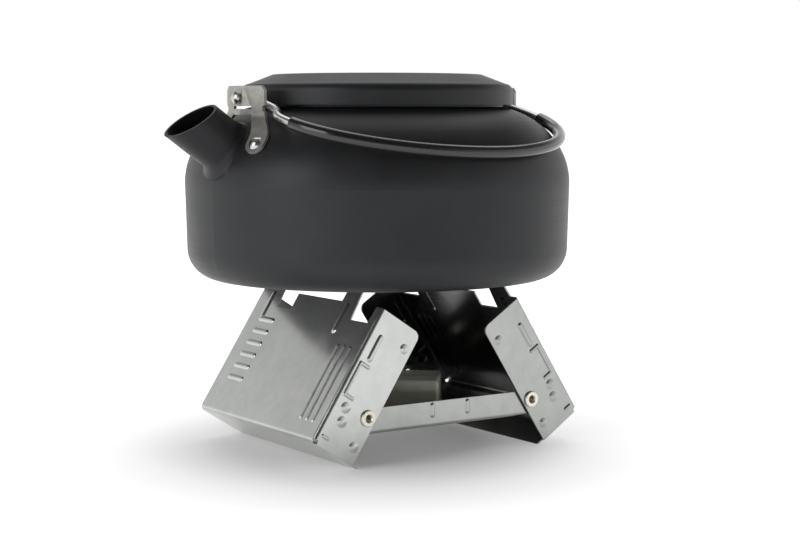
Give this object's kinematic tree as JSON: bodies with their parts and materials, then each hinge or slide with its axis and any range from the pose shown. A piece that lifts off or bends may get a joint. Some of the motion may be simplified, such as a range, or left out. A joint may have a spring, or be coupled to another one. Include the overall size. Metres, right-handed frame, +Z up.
{
  "type": "folding solid-fuel stove with kettle",
  "caption": "Folding pocket stove of pressed steel, two wings hinged on a shallow tray, opened with its fuel and a flat kettle with a folding bail standing on the teeth.",
  "frame": {"origin": "on the floor, under the middle of the bounds of the stove and its kettle together", "axes": "+Z up, X along the stove from the left wing to the right one, Y along the pivots from front to back"},
  "size_m": [0.1483, 0.1342, 0.1265],
  "materials": {
    "stove_steel": "satin zinc plating",
    "eyelet_metal": "nickel plating",
    "fuel": "pressed powder, matte",
    "kettle_aluminium": "hard anodised, matte",
    "stainless": "stainless, satin",
    "rivet_aluminium": "bright",
    "grip_sleeve": "glossy black sleeve",
    "black_plastic": "moulded, satin"
  },
  "bodies": {
    "stove_base": {"base_tray": "stove_steel", "eyelet_front_left": "eyelet_metal", "eyelet_front_right": "eyelet_metal", "eyelet_back_left": "eyelet_metal", "eyelet_back_right": "eyelet_metal"},
    "left_wing": {"left_wing": "stove_steel"},
    "right_wing": {"right_wing": "stove_steel"},
    "fuel": {"fuel_tablet_front": "fuel", "fuel_tablet_back": "fuel"},
    "kettle": {"kettle_body": "kettle_aluminium", "kettle_spout": "kettle_aluminium", "spout_ear": "stainless", "rear_ear": "stainless", "spout_ear_rivet_left": "rivet_aluminium", "spout_ear_rivet_right": "rivet_aluminium", "rear_ear_rivet_left": "rivet_aluminium", "rear_ear_rivet_right": "rivet_aluminium"},
    "bail": {"bail_wire": "stainless", "bail_grip": "grip_sleeve"},
    "lid": {"kettle_lid": "kettle_aluminium", "lid_knob": "black_plastic", "lid_knob_screw": "stainless"}
  },
  "joints": [
    {"name": "left_wing_hinge", "type": "hinge", "parent": "stove_base", "child": "left_wing", "pos_m": [-0.02304, -0.00207, 0.01606], "axis": [0, -1, 0], "range_deg": [-57, 0]},
    {"name": "right_wing_hinge", "type": "hinge", "parent": "stove_base", "child": "right_wing", "pos_m": [0.04336, -0.00207, 0.01606], "axis": [0, 1, 0], "range_deg": [-57, 0]},
    {"name": "fuel_lift", "type": "slide", "parent": "stove_base", "child": "fuel", "axis": [0, 0, 1], "range_m": [0, 0.03]},
    {"name": "kettle_lift", "type": "slide", "parent": "stove_base", "child": "kettle", "axis": [0, 0, 1], "range_m": [0, 0.08]},
    {"name": "lid_lift", "type": "slide", "parent": "kettle", "child": "lid", "axis": [0, 0, 1], "range_m": [0, 0.04]},
    {"name": "bail_hinge", "type": "hinge", "parent": "kettle", "child": "bail", "pos_m": [0.00796, 0.00093, 0.11842], "axis": [-0.9986, -0.0523, 0], "range_deg": [0, 150.8]}
  ]
}
